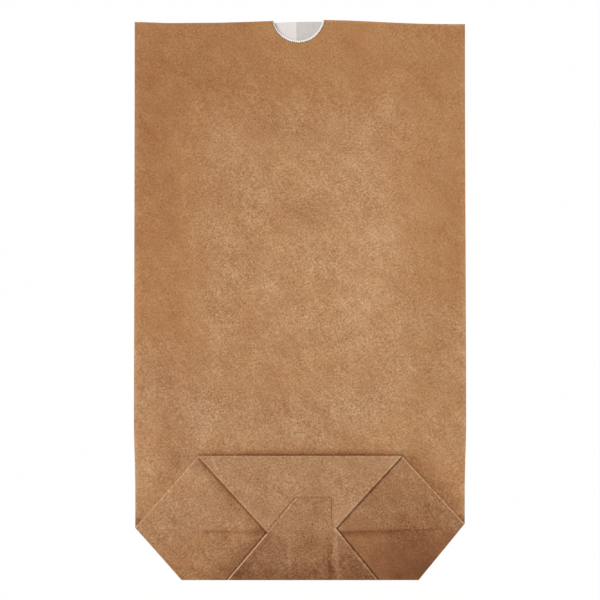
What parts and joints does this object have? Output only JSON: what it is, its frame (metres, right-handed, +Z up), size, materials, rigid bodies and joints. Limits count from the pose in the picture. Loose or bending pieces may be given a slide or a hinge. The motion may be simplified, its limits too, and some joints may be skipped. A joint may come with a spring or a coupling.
{
  "type": "paper bag",
  "caption": "Flat kraft paper lunch bag with a cross-folded glued bottom, a lengthwise back seam and a thumb notch in the mouth, lying flat.",
  "frame": {"origin": "centre of the flat bag's outline, on the surface that it lies on", "axes": "+Y towards the mouth, +X to the right of the front wall, +Z up out of the front wall, on whose lower end the folded bottom lies"},
  "size_m": [0.1664, 0.2802, 0.0037],
  "materials": {
    "kraft_paper": "matte uncoated, brown outside and white inside"
  },
  "bodies": {
    "root": {"paper_bag": "kraft_paper"}
  },
  "joints": []
}
